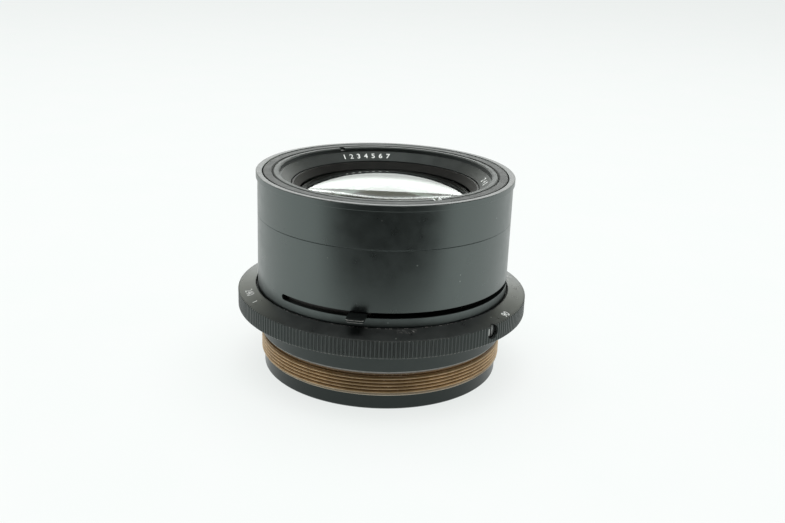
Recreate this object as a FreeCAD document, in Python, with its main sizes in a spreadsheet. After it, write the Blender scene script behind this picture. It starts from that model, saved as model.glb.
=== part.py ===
import FreeCAD, Part
import math
import os

import Sketcher

# Barrel-mounted enlarging lens: two glass cells in one barrel, a twelve-blade iris worked by the
# fluted ring, and a slot for drop-in stops behind a sliding cover.
# Millimetres. The optical axis is Z, the rear rim stands on Z = 0 and the front looks up.
# An azimuth of 0 is the -Y side, and it grows towards +X.

SIZES = {
    # outside
    "overall_height": 59.14, "barrel_radius": 37.08, "shell_bore": 35.6, "seam_height": 46.86,
    "bead_radius": 37.5, "bead_bottom": 57.5, "ring_radius": 42.91, "ring_bottom": 18.62,
    "grip_top": 23.65, "ring_top": 25.3, "ring_bevel_radius": 37.62, "ring_bore": 35.65,
    "neck_radius": 36.2, "neck_bottom": 11.15, "neck_top": 18.57, "edge_break": 0.3,
    # mounting thread, M72 x 1
    "thread_radius": 36.0, "thread_pitch": 1.0, "thread_depth": 0.613, "thread_bottom": 4.35,
    "relief_bottom": 10.4, "relief_radius": 35.2, "sleeve_bore": 34.0,
    # barrel inside
    "tail_bore": 32.8, "barrel_bore": 33.95, "flange_bottom": 19.0, "flange_top": 20.85,
    "flange_bore": 20.2, "barrel_top": 45.8, "channel_bottom": 26.4, "channel_top": 30.8,
    "channel_radius": 34.7,
    # fluted grip
    "flute_count": 240, "flute_depth": 0.35, "flute_width": 0.66,
    # stop slot and its cover
    "slot_bottom": 27.77, "slot_top": 29.36, "slot_start": -47.5, "slot_sweep": 127.5,
    "cover_inner": 34.8, "cover_outer": 35.5, "tab_azimuth": -9.0, "tab_width": 5.0,
    "tab_bottom": 28.0, "tab_top": 29.0, "tab_reach": 41.9, "cover_gap": 2.0,
    # iris
    "blade_count": 12, "pivot_circle": 29.3, "pivot_phase": 9.5, "drive_arm": 8.0, "arm_width": 1.5,
    "drive_angle": 105.0, "blade_swing": 36.39, "ring_throw": 96.0, "blade_inner": 19.5,
    "blade_outer": 27.6, "blade_sweep": 96.0, "blade_thick": 0.12, "blade_layer": 0.2,
    "blade_base": 23.0, "pin_radius": 0.35, "pin_clearance": 0.05, "cam_bottom": 20.9,
    "cam_top": 22.9, "cam_bore": 26.5, "cam_radius": 33.9, "plate_bottom": 25.4,
    "plate_top": 26.4,
    # drive screw
    "screw_azimuth": 47.0, "screw_height": 21.9, "screw_hole": 2.1, "screw_head": 1.95,
    "screw_seat": 39.8, "screw_face": 41.9, "shank_radius": 1.25, "tip_radius": 0.75,
    "tip_end": 32.9,
    # rear cell
    "rear_band_radius": 35.11, "rear_band_top": 4.33, "rear_glass": 24.5, "rear_small_glass": 20.5,
    "rear_bore": 24.55, "rear_small_bore": 20.55, "rear_seat": 14.0, "rear_thread": 27.05,
    # front cell
    "front_glass": 25.8, "front_small_glass": 22.0, "front_bore": 25.85, "front_small_bore": 22.05,
    "front_step": 41.25, "front_lip_top": 59.04, "name_ring_radius": 32.7,
    "name_ring_bottom": 54.7, "filter_radius": 30.8,
}

Vector = FreeCAD.Vector
UP = Vector(0, 0, 1)

doc = FreeCAD.newDocument("EnlargerLens")
sheet = doc.addObject("Spreadsheet::Sheet", "Sizes")
for row, (word, value) in enumerate(SIZES.items(), start=1):
    sheet.set("A%d" % row, word)
    sheet.set("B%d" % row, str(value))
    sheet.setAlias("B%d" % row, word)
doc.recompute()

parts = []


# ---- sizes: each is a text such as "ring_radius - flute_depth" --------------------------------

def size(text):
    """The number that a size text stands for, read from the sheet."""
    total, sign = 0.0, 1
    for word in str(text).split():
        if word in "+-":
            sign = 1 if word == "+" else -1
        else:
            total += sign * float(sheet.get(word) if word in SIZES else word)
            sign = 1
    return total


def formula(text):
    """The same size text as an expression on the sheet's cells."""
    words = ["Sizes." + word if word in SIZES else word for word in str(text).split()]
    return " ".join(words)


def span(low, high):
    """The size text for high less low."""
    flipped = [{"+": "-", "-": "+"}.get(word, word) for word in low.split()]
    return high + " - " + " ".join(flipped)


def bind(thing, **texts):
    for name, text in texts.items():
        thing.setExpression(name, formula(text))


def keep(thing, node):
    """Make an object one of the lens's pieces, under the name of its node."""
    thing.Label = node
    parts.append(thing)
    return thing


# ---- sketches and bodies ----------------------------------------------------------------------

def new_sketch(body, name, role, lift=0.0):
    plane = next(item for item in body.Origin.OriginFeatures if item.Role == role)
    sketch = body.newObject("Sketcher::SketchObject", name)
    sketch.AttachmentSupport = [(plane, "")]
    sketch.MapMode = "FlatFace"
    sketch.AttachmentOffset = FreeCAD.Placement(Vector(0, 0, lift), FreeCAD.Rotation())
    return sketch


def fix_point(sketch, edge, end, across, up):
    """Tie one end of a sketch edge to two size texts."""
    for kind, text in (("DistanceX", across), ("DistanceY", up)):
        if text is not None:
            number = sketch.addConstraint(
                Sketcher.Constraint(kind, -1, 1, edge, end, size(text)))
            sketch.setExpression("Constraints[%d]" % number, formula(text))


def closed_outline(sketch, points):
    """A closed outline of straight lines through (across, up) size texts."""
    corners = [Vector(size(across), size(up), 0) for across, up in points]
    count = len(corners)
    lines = [Part.LineSegment(corners[i], corners[(i + 1) % count]) for i in range(count)]
    sketch.addGeometry(lines, False)
    for i, (across, up) in enumerate(points):
        sketch.addConstraint(Sketcher.Constraint("Coincident", i, 2, (i + 1) % count, 1))
        fix_point(sketch, i, 1, across, up)


def revolve(body, sketch, name):
    turned_feature = body.newObject("PartDesign::Revolution", name)
    turned_feature.Profile = sketch
    turned_feature.ReferenceAxis = (sketch, ["V_Axis"])
    turned_feature.Angle = 360
    return turned_feature


def turned(name, points):
    """A body turned about the optical axis from an outline of (radius, height) texts."""
    body = doc.addObject("PartDesign::Body", name)
    sketch = new_sketch(body, name + "_outline", "XZ_Plane")
    closed_outline(sketch, points)
    revolve(body, sketch, name + "_turning")
    return body


def ring(name, inner, outer, bottom, top):
    return turned(name, [(inner, bottom), (outer, bottom), (outer, top), (inner, top)])


def sag(curve, across):
    """Height of a spherical surface over its vertex; a negative curve bends down."""
    depth = abs(curve) - math.sqrt(curve * curve - across * across)
    return math.copysign(depth, curve)


def glass(node, edge, lower, lower_curve, upper, upper_curve):
    """A lens element between two spherical faces, given by vertex heights and radii."""
    body = doc.addObject("PartDesign::Body", node)
    sketch = new_sketch(body, node + "_outline", "XZ_Plane")
    rim = size(edge)
    ends = [Vector(rim, lower + sag(lower_curve, rim), 0),
            Vector(rim, upper + sag(upper_curve, rim), 0)]
    for vertex, curve, end in ((lower, lower_curve, ends[0]), (upper, upper_curve, ends[1])):
        middle = Vector(rim / 2, vertex + sag(curve, rim / 2), 0)
        sketch.addGeometry(Part.Arc(Vector(0, vertex, 0), middle, end), False)
    sketch.addGeometry(Part.LineSegment(ends[0], ends[1]), False)
    sketch.addGeometry(Part.LineSegment(Vector(0, upper, 0), Vector(0, lower, 0)), False)
    for arc, vertex, curve in ((0, lower, lower_curve), (1, upper, upper_curve)):
        # An arc that bends up runs from its vertex to the rim, and one that bends down runs back.
        start, stop = (1, 2) if curve > 0 else (2, 1)
        sketch.addConstraint(Sketcher.Constraint("PointOnObject", arc, 3, -2))
        sketch.addConstraint(Sketcher.Constraint("PointOnObject", arc, start, -2))
        sketch.addConstraint(Sketcher.Constraint("DistanceY", -1, 1, arc, start, vertex))
        sketch.addConstraint(Sketcher.Constraint("Radius", arc, abs(curve)))
        sketch.addConstraint(Sketcher.Constraint("Coincident", arc, stop, 2, arc + 1))
        sketch.addConstraint(Sketcher.Constraint("Coincident", arc, start, 3, 2 - arc))
    fix_point(sketch, 2, 1, edge, None)
    fix_point(sketch, 2, 2, edge, None)
    revolve(body, sketch, node + "_turning")
    return keep(body, node)


# ---- primitives and booleans -------------------------------------------------------------------

def around(azimuth):
    """The turn that brings +X to an azimuth."""
    return FreeCAD.Rotation(UP, azimuth - 90)


def outward(azimuth):
    angle = math.radians(azimuth)
    return Vector(math.sin(angle), -math.cos(angle), 0)


def sector(name, inner, outer, bottom, top, start=0.0, sweep="360"):
    """A ring or part of one, from one azimuth over a sweep."""
    pieces = []
    for part_name, radius in (("outer", outer), ("inner", inner)):
        cylinder = doc.addObject("Part::Cylinder", name + "_" + part_name)
        bind(cylinder, Radius=radius, Height=span(bottom, top), Angle=sweep)
        cylinder.Placement = FreeCAD.Placement(Vector(0, 0, 0), around(start))
        cylinder.setExpression("Placement.Base.z", formula(bottom))
        pieces.append(cylinder)
    return cut(name, pieces[0], pieces[1])


def cut(name, base, tool):
    made = doc.addObject("Part::Cut", name)
    made.Base = base
    made.Tool = tool
    return made


def fuse(name, pieces):
    made = doc.addObject("Part::MultiFuse", name)
    made.Shapes = pieces
    made.Refine = True
    return made


def upright_bar(name, radius, bottom, top, centre):
    bar = doc.addObject("Part::Cylinder", name)
    bind(bar, Radius=radius, Height=span(bottom, top))
    bar.Placement = FreeCAD.Placement(Vector(centre.x, centre.y, 0), FreeCAD.Rotation())
    bar.setExpression("Placement.Base.z", formula(bottom))
    return bar


def radial_bar(name, radius, start, end, height, azimuth):
    """A round bar that points away from the axis."""
    bar = doc.addObject("Part::Cylinder", name)
    bind(bar, Radius=radius, Height=span(start, end))
    away = outward(azimuth)
    base = away * size(start) + UP * size(height)
    bar.Placement = FreeCAD.Placement(base, FreeCAD.Rotation(UP, away))
    return bar


def radial_block(name, start, end, width, bottom, top, azimuth):
    """A box that points away from the axis, centred on an azimuth."""
    block = doc.addObject("Part::Box", name)
    bind(block, Length=span(start, end), Width=width, Height=span(bottom, top))
    turn = around(azimuth)
    corner = turn.multVec(Vector(size(start), -size(width) / 2, size(bottom)))
    block.Placement = FreeCAD.Placement(corner, turn)
    return block


def round_ended_slot(name, inner, outer, bottom, top, start, sweep):
    """A cutting tool for a slot around the axis, with half-round ends."""
    half = (size(top) - size(bottom)) / 2
    inset = math.degrees(half / size(outer))
    middle = size(sweep) - 2 * inset
    band = sector(name + "_band", inner, outer, bottom, top, size(start) + inset, str(middle))
    ends = []
    for number, azimuth in enumerate((size(start) + inset, size(start) + inset + middle)):
        ends.append(radial_bar("%s_end%d" % (name, number), str(half), inner, outer,
                               str(size(bottom) + half), azimuth))
    return fuse(name, [band] + ends)


# ---- rear cell ---------------------------------------------------------------------------------

def make_rear_cell():
    keep(turned("rear_cell_housing", [
        ("30.0", "0"), ("rear_band_radius - 0.4", "0"), ("rear_band_radius", "0.4"),
        ("rear_band_radius", "rear_band_top"), ("tail_bore - 0.05", "rear_band_top"),
        ("tail_bore - 0.05", "12.0"), ("29.0", "13.5"), ("29.0", "18.8"), ("19.3", "18.8"),
        ("19.3", "17.95"), ("rear_small_bore", "17.95"), ("rear_small_bore", "rear_seat"),
        ("rear_bore", "rear_seat"), ("rear_bore", "6.1"), ("rear_thread", "6.1"),
        ("rear_thread", "2.0")]), "rear_cell_housing")
    glass("rear_doublet_outer_glass", "rear_glass", 2.0, 70.0, 4.4, 60.0)
    glass("rear_doublet_inner_glass", "rear_glass", 4.4, 60.0, 10.4, 150.0)
    glass("rear_meniscus_glass", "rear_small_glass", 11.6, 80.0, 14.4, 62.0)
    keep(ring("rear_spacer", "19.6", "rear_glass", "12.42", "rear_seat"), "rear_spacer")
    blank = turned("rear_retainer_blank", [
        ("24.2", "3.2"), ("27.0", "3.2"), ("27.0", "6.05"), ("24.6", "6.05"), ("23.4", "5.95"),
        ("23.4", "4.2")])
    notches = fuse("rear_retainer_notches", [
        radial_block("rear_notch%d" % side, "23", "28", "1.6", "3", "4", azimuth)
        for side, azimuth in enumerate((40, 220))])
    keep(cut("rear_retainer_cut", blank, notches), "rear_retaining_ring")


# ---- barrel ------------------------------------------------------------------------------------

def make_thread_sleeve():
    """The threaded sleeve: a helical 60-degree groove run out into the relief under the neck."""
    body = turned("mount_thread_sleeve", [
        ("sleeve_bore", "thread_bottom"), ("relief_radius + 0.2", "thread_bottom"),
        ("thread_radius", "thread_bottom + 0.55"), ("thread_radius", "relief_bottom - 0.3"),
        ("relief_radius", "relief_bottom"), ("relief_radius", "neck_bottom"),
        ("sleeve_bore", "neck_bottom")])
    doc.recompute()
    before = body.Shape.Volume
    sketch = new_sketch(body, "thread_profile", "XZ_Plane")
    half_mouth = size("thread_pitch") * 7 / 16 + 0.02
    half_root = size("thread_pitch") / 16
    start = "thread_bottom - thread_pitch"
    closed_outline(sketch, [
        ("thread_radius - thread_depth", "%s - %.4f" % (start, half_root)),
        ("thread_radius + 0.035", "%s - %.4f" % (start, half_mouth)),
        ("thread_radius + 0.035", "%s + %.4f" % (start, half_mouth)),
        ("thread_radius - thread_depth", "%s + %.4f" % (start, half_root))])
    groove = body.newObject("PartDesign::SubtractiveHelix", "thread_groove")
    groove.Profile = sketch
    groove.ReferenceAxis = (sketch, ["V_Axis"])
    groove.Mode = 0
    groove.setExpression("Pitch", formula("thread_pitch"))
    groove.setExpression("Height", formula("relief_bottom - thread_bottom + 1.35"))
    groove.Angle = 0
    groove.LeftHanded = False
    body.Tip = groove
    doc.recompute()
    if not 100 < before - body.Shape.Volume < 1000:
        raise RuntimeError("the thread groove cut %.1f mm3" % (before - body.Shape.Volume))
    return keep(body, "mount_thread_sleeve")


def make_main_barrel():
    blank = turned("main_barrel_blank", [
        ("tail_bore", "rear_band_top"), ("sleeve_bore", "rear_band_top"),
        ("sleeve_bore", "neck_bottom"), ("neck_radius - 0.45", "neck_bottom"),
        ("neck_radius", "neck_bottom + 0.6"), ("neck_radius", "neck_top"),
        ("shell_bore", "neck_top"), ("shell_bore", "channel_bottom"),
        ("channel_radius", "channel_bottom"), ("channel_radius", "channel_top"),
        ("shell_bore", "channel_top"), ("shell_bore", "barrel_top"),
        ("barrel_bore", "barrel_top"), ("barrel_bore", "flange_top"),
        ("flange_bore", "flange_top"), ("flange_bore", "flange_bottom"),
        ("tail_bore", "flange_bottom")])
    play = 1.5
    drive_slot = round_ended_slot(
        "drive_slot", "tail_bore", "neck_radius", "screw_height - tip_radius - 0.1",
        "screw_height + tip_radius + 0.1", "screw_azimuth - %.2f" % play,
        "ring_throw + %.2f" % (2 * play))
    stop_slot = round_ended_slot("barrel_stop_slot", "barrel_bore - 1", "shell_bore",
                                 "slot_bottom - 0.17", "slot_top + 0.14", "slot_start - 0.5",
                                 "slot_sweep + 1")
    slots = fuse("barrel_slots", [drive_slot, stop_slot])
    keep(cut("main_barrel_cut", blank, slots), "main_barrel")


def make_shells():
    blank = turned("rear_shell_blank", [
        ("shell_bore", "ring_top - 0.9"), ("barrel_radius", "ring_top - 0.9"),
        ("barrel_radius", "seam_height - 0.12"), ("barrel_radius - 0.12", "seam_height"),
        ("shell_bore", "seam_height")])
    slot = round_ended_slot("shell_slot", "shell_bore - 0.5", "barrel_radius + 1", "slot_bottom",
                            "slot_top", "slot_start", "slot_sweep")
    keep(cut("rear_shell_cut", blank, slot), "rear_shell")
    keep(turned("front_shell", [
        ("shell_bore - 0.05", "seam_height"), ("barrel_radius - 0.12", "seam_height"),
        ("barrel_radius", "seam_height + 0.12"), ("barrel_radius", "bead_bottom - 0.5"),
        ("bead_radius", "bead_bottom"), ("bead_radius", "overall_height - 0.3"),
        ("bead_radius - 0.3", "overall_height"), ("35.95", "overall_height"),
        ("35.72", "overall_height - 0.2"), ("35.72", "56.5"), ("shell_bore - 0.05", "56.5")]),
        "front_shell")


# ---- aperture ring and iris --------------------------------------------------------------------

def make_aperture_ring():
    blank = turned("aperture_ring_blank", [
        ("ring_bore", "ring_bottom"), ("ring_radius - edge_break", "ring_bottom"),
        ("ring_radius", "ring_bottom + edge_break"), ("ring_radius", "grip_top"),
        ("ring_bevel_radius + 0.1", "ring_top"), ("ring_bevel_radius", "ring_top"),
        ("ring_bevel_radius - 0.12", "ring_top - 0.12"), ("ring_bevel_radius - 0.12", "24.3"),
        ("ring_bore", "24.3")])
    flutes = doc.addObject("Part::Feature", "flute_cutters")
    count = int(size("flute_count"))
    reach, half = size("ring_radius + 0.3"), size("flute_width") / 2
    floor = size("ring_radius - flute_depth")
    # The cutter's flanks are carried on past the ring's surface, so its mouth has the full width.
    flare = half * (reach - floor) / size("flute_depth")
    cutters = []
    for number in range(count):
        turn = around(number * 360.0 / count)
        corners = [turn.multVec(Vector(*corner, size("ring_bottom - 1"))) for corner in
                   ((floor, 0), (reach, flare), (reach, -flare), (floor, 0))]
        face = Part.Face(Part.makePolygon(corners))
        cutters.append(face.extrude(UP * (size("grip_top + 0.6 - ring_bottom") + 1)))
    flutes.Shape = Part.makeCompound(cutters)
    flutes.Placement = FreeCAD.Placement()
    fluted = cut("aperture_ring_fluted", blank, flutes)
    screw_way = fuse("screw_way", [
        radial_bar("screw_hole_wide", "screw_hole", "screw_seat", "ring_radius + 1",
                   "screw_height", size("screw_azimuth")),
        radial_bar("screw_hole_narrow", "shank_radius", "ring_bore - 1", "screw_seat + 0.1",
                   "screw_height", size("screw_azimuth"))])
    keep(cut("aperture_ring_cut", fluted, screw_way), "aperture_ring")


def make_drive_screw():
    azimuth = size("screw_azimuth")
    solid = fuse("screw_solid", [
        radial_bar("screw_head_bar", "screw_head", "screw_seat", "screw_face", "screw_height",
                   azimuth),
        radial_bar("screw_shank", "shank_radius", "shell_bore + 0.1", "screw_seat",
                   "screw_height", azimuth),
        radial_bar("screw_tip", "tip_radius", "tip_end", "shell_bore + 0.1", "screw_height",
                   azimuth)])
    driver_slot = radial_block("screw_driver_slot", "screw_face - 0.9", "screw_face + 1", "0.6",
                               "screw_height - 2.5", "screw_height + 2.5", azimuth)
    keep(cut("drive_screw_cut", solid, driver_slot), "aperture_drive_screw")


def drive_pin_place(swing):
    """Radius of a blade's drive pin, and its azimuth from the blade's pivot, at a swing."""
    angle = math.radians(size("drive_angle") - swing)
    along = size("pivot_circle") + size("drive_arm") * math.cos(angle)
    across = -size("drive_arm") * math.sin(angle)
    return math.hypot(along, across), math.degrees(math.atan2(across, along))


def cam_slot(azimuth):
    """The spiral that carries one drive pin as the cam ring turns through its throw."""
    half = size("pin_radius + pin_clearance")
    steps = 12
    ring_turns = [size("ring_throw") * step / steps for step in range(steps + 1)]

    def centre(ring_turn):
        swing = size("blade_swing") * ring_turn / size("ring_throw")
        radius, offset = drive_pin_place(swing)
        return outward(azimuth + offset - ring_turn) * radius

    sides = ([], [])
    for ring_turn in ring_turns:
        ahead = centre(ring_turn + 0.1) - centre(ring_turn - 0.1)
        across = UP.cross(ahead).normalize() * half
        sides[0].append(centre(ring_turn) + across)
        sides[1].append(centre(ring_turn) - across)
    edges = []
    for side in sides:
        curve = Part.BSplineCurve()
        curve.interpolate(side)
        edges.append(curve.toShape())
    for ring_turn, beyond in ((0.0, -1), (size("ring_throw"), 1)):
        ahead = (centre(ring_turn + 0.1) - centre(ring_turn - 0.1)).normalize()
        index = 0 if beyond < 0 else -1
        tip = centre(ring_turn) + ahead * (half * beyond)
        edges.append(Part.Arc(sides[0][index], tip, sides[1][index]).toShape())
    outline = Part.Wire(Part.__sortEdges__(edges))
    face = Part.Face(outline)
    face.translate(UP * size("cam_bottom - 1"))
    return face.extrude(UP * size("cam_top - cam_bottom + 2"))


def make_cam_ring():
    blank = ring("cam_ring_blank", "cam_bore", "cam_radius", "cam_bottom", "cam_top")
    slots = doc.addObject("Part::Feature", "cam_slots")
    slots.Shape = Part.makeCompound([cam_slot(azimuth) for azimuth in blade_azimuths()])
    slots.Placement = FreeCAD.Placement()
    slotted = cut("cam_ring_slotted", blank, slots)
    socket = radial_bar("cam_screw_socket", "tip_radius", "tip_end", "cam_radius + 1",
                        "screw_height", size("screw_azimuth"))
    keep(cut("cam_ring_cut", slotted, socket), "iris_cam_ring")


def blade_azimuths():
    count = int(size("blade_count"))
    return [size("pivot_phase") + number * 360.0 / count for number in range(count)]


def make_blade(number, azimuth):
    """One leaf: a crescent, its pivot pin going up and its drive pin going down."""
    name = "iris_blade_%02d" % number
    bottom = "blade_base + %.2f" % (size("blade_layer") * (number - 1))
    top = bottom + " + blade_thick"
    pivot = outward(azimuth) * size("pivot_circle")
    radius, offset = drive_pin_place(0.0)
    drive = outward(azimuth + offset) * radius
    tip_azimuth = azimuth + size("blade_sweep")
    half_width = (size("blade_outer") - size("blade_inner")) / 2
    tip = outward(tip_azimuth) * (size("blade_inner") + half_width)
    arm = doc.addObject("Part::Box", name + "_arm")
    bind(arm, Length="drive_arm", Width="arm_width", Height="blade_thick")
    reach = drive - pivot
    turn = FreeCAD.Rotation(Vector(1, 0, 0), reach)
    corner = Vector(0, -size("arm_width") / 2, size(bottom))
    arm.Placement = FreeCAD.Placement(pivot + turn.multVec(corner), turn)
    pieces = [
        sector(name + "_crescent", "blade_inner", "blade_outer", bottom, top, azimuth,
               "blade_sweep"),
        sector(name + "_root", "blade_inner + 4.5", "pivot_circle + 0.5", bottom, top,
               azimuth - 2.5, "6.5"),
        upright_bar(name + "_tip", str(half_width), bottom, top, tip),
        upright_bar(name + "_boss", "1.6", bottom, top, pivot),
        upright_bar(name + "_drive_boss", "arm_width / 2", bottom, top, drive), arm,
        upright_bar(name + "_pivot_pin", "pin_radius", bottom, "plate_top - 0.05", pivot),
        upright_bar(name + "_drive_pin", "pin_radius", "cam_bottom + 0.15", top, drive)]
    keep(fuse(name + "_fuse", pieces), name)


def make_pivot_plate():
    """The fixed plate over the blades, drilled for their pivot pins."""
    body = ring("iris_pivot_plate", "blade_inner + 0.1", "barrel_bore", "plate_bottom",
                "plate_top")
    doc.recompute()
    before = body.Shape.Volume
    sketch = new_sketch(body, "pivot_hole_sketch", "XY_Plane", size("plate_top"))
    centre = outward(size("pivot_phase")) * size("pivot_circle")
    sketch.addGeometry(Part.Circle(centre, UP, size("pin_radius + pin_clearance")), False)
    hole_size = sketch.addConstraint(
        Sketcher.Constraint("Radius", 0, size("pin_radius + pin_clearance")))
    sketch.setExpression("Constraints[%d]" % hole_size, formula("pin_radius + pin_clearance"))
    pocket = body.newObject("PartDesign::Pocket", "pivot_hole")
    pocket.Profile = sketch
    pocket.Length = 1.5
    pattern = body.newObject("PartDesign::PolarPattern", "pivot_holes")
    pattern.Originals = [pocket]
    pattern.Axis = (next(item for item in body.Origin.OriginFeatures if item.Role == "Z_Axis"),
                    [""])
    pattern.Angle = 360
    pattern.setExpression("Occurrences", formula("blade_count"))
    body.Tip = pattern
    doc.recompute()
    hole = math.pi * size("pin_radius + pin_clearance") ** 2 * size("plate_top - plate_bottom")
    if abs(before - body.Shape.Volume - hole * size("blade_count")) > 0.01:
        raise RuntimeError("the pivot holes are not all cut")
    keep(body, "iris_pivot_plate")


def make_iris():
    make_cam_ring()
    for number, azimuth in enumerate(blade_azimuths(), start=1):
        make_blade(number, azimuth)
    make_pivot_plate()
    blank = ring("iris_retainer_blank", "30.5", "barrel_bore", "plate_top", "27.5")
    notches = fuse("iris_retainer_notches", [
        radial_block("iris_notch%d" % side, "30", "32", "1.6", "26.9", "28", azimuth)
        for side, azimuth in enumerate((0, 180))])
    keep(cut("iris_retainer_cut", blank, notches), "iris_retaining_ring")


# ---- stop guide and slot cover -----------------------------------------------------------------

def make_stop_guide():
    keep(sector("stop_guide_channel_cut", "31.5", "barrel_bore", "27.5", "29.6", 84.0, "224"),
         "stop_guide_channel")
    keep(ring("stop_guide_plate", "20.5", "barrel_bore", "29.6", "30.6"), "stop_guide_plate")
    keep(ring("guide_spacer", "32.4", "barrel_bore", "30.6", "34.4"), "guide_spacer")


def make_slot_cover():
    """A split band in the barrel's channel: solid to one side of its tab, open to the other."""
    tab = size("tab_azimuth")
    half_gap = size("cover_gap") / 2
    band = sector("cover_band", "cover_inner", "cover_outer", "channel_bottom + 0.1",
                  "channel_top - 0.1", 180.0 + half_gap, "360 - cover_gap")
    window = round_ended_slot("cover_window", "cover_inner - 0.5", "cover_outer + 0.5",
                              "slot_bottom - 0.3", "slot_top + 0.3", str(tab + 5),
                              "slot_sweep + 2")
    seat = radial_block("cover_tab_seat", "cover_inner - 1", "cover_outer + 1", "tab_width",
                        "tab_bottom", "tab_top", tab)
    keep(cut("cover_band_cut", band, fuse("cover_openings", [window, seat])), "slot_cover_band")
    plate = radial_block("tab_plate", "cover_inner + 0.1", "tab_reach", "tab_width",
                         "tab_bottom", "tab_top", tab)
    rounded = doc.addObject("Part::Fillet", "tab_rounded")
    rounded.Base = plate
    doc.recompute()
    outer_edges = [number for number, edge in enumerate(plate.Shape.Edges, start=1)
                   if abs(edge.tangentAt(0).z) > 0.9
                   and edge.CenterOfMass.Length > size("tab_reach")]
    rounded.Edges = [(number, 0.8, 0.8) for number in outer_edges]
    keep(rounded, "slot_cover_tab")


# ---- front cell --------------------------------------------------------------------------------

def make_front_cell():
    keep(turned("front_cell_housing", [
        ("20.5", "34.4"), ("barrel_bore", "34.4"), ("barrel_bore", "barrel_top"),
        ("shell_bore - 0.05", "barrel_top"), ("shell_bore - 0.05", "56.5"),
        ("35.45", "56.6"), ("35.45", "front_lip_top - 0.15"), ("35.3", "front_lip_top"),
        ("33.15", "front_lip_top"), ("name_ring_radius + 0.05", "front_lip_top - 0.45"),
        ("name_ring_radius + 0.05", "name_ring_bottom - 0.1"), ("27.65", "54.6"),
        ("27.65", "53.0"), ("front_bore", "53.0"), ("front_bore", "front_step"),
        ("front_small_bore", "front_step"), ("front_small_bore", "35.75"), ("20.5", "35.75")]),
        "front_cell_housing")
    glass("front_meniscus_glass", "front_small_glass", 39.8, -62.0, 44.0, -80.0)
    keep(ring("front_spacer", "21.0", "front_glass", "front_step", "44.2"), "front_spacer")
    glass("front_doublet_inner_glass", "front_glass", 46.5, -150.0, 53.0, -60.0)
    glass("front_doublet_outer_glass", "front_glass", 53.0, -60.0, 57.1, -78.0)
    keep(turned("front_glass_retainer", [
        ("25.0", "53.15"), ("25.9", "53.05"), ("27.6", "53.05"), ("27.6", "54.5"),
        ("27.2", "54.65"), ("27.2", "55.25"), ("26.65", "55.25")]), "front_glass_retainer")
    blank = turned("name_ring_blank", [
        ("27.4", "name_ring_bottom"), ("name_ring_radius", "name_ring_bottom"),
        ("name_ring_radius", "58.6"), ("32.35", "58.98"), ("31.3", "front_lip_top"),
        ("filter_radius", "58.72"), ("filter_radius", "57.75"), ("30.3", "57.75"),
        ("27.4", "55.5")])
    notches = fuse("name_ring_notches", [
        radial_block("name_notch%d" % side, "30.4", "33", "1.6", "58.3", "60", azimuth)
        for side, azimuth in enumerate((26.1, -152.9))])
    keep(cut("name_ring_cut", blank, notches), "name_ring")


# ---- the whole lens ----------------------------------------------------------------------------

make_rear_cell()
make_thread_sleeve()
make_main_barrel()
make_shells()
make_aperture_ring()
make_drive_screw()
make_iris()
make_stop_guide()
make_slot_cover()
make_front_cell()
doc.recompute()

for thing in doc.Objects:
    if "Invalid" in thing.State or "Error" in thing.State:
        raise RuntimeError("%s did not compute: %s" % (thing.Name, thing.State))
for part in parts:
    if part.Shape.isNull() or not part.Shape.isValid():
        raise RuntimeError("%s has no valid shape" % part.Label)
    if len(part.Shape.Solids) != 1:
        raise RuntimeError("%s has %d solids" % (part.Label, len(part.Shape.Solids)))

os.makedirs("parts", exist_ok=True)
for part in parts:
    part.Shape.exportStep("parts/%s.step" % part.Label)
print("wrote %d parts" % len(parts))
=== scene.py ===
import math

import bmesh
import bpy
from mathutils import Matrix, Vector


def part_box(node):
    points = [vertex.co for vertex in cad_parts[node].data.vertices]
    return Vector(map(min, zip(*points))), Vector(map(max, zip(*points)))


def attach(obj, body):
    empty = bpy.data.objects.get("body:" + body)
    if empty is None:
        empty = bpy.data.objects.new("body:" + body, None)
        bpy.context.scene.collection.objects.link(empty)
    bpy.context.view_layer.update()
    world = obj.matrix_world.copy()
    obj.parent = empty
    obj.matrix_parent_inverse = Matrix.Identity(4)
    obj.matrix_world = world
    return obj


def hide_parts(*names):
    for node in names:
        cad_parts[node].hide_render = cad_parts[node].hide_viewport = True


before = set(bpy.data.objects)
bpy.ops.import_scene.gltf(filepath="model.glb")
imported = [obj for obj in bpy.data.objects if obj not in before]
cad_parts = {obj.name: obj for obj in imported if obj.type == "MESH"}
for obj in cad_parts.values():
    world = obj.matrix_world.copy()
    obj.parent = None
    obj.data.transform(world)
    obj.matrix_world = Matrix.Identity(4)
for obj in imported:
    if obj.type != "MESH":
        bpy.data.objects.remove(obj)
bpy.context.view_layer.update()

# An enlarging lens that stands on its rear rim. Metres; the optical axis is Z, and an azimuth of
# 0 is the -Y side and grows towards +X. Small sizes are written in millimetres times MM.

MM = 0.001
SEGMENTS = 288  # columns in a turned piece


# ---- places, read from the frame ----------------------------------------------------------------

def radius_of(node):
    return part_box(node)[1].x


def bottom_of(node):
    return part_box(node)[0].z


def top_of(node):
    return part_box(node)[1].z


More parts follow.
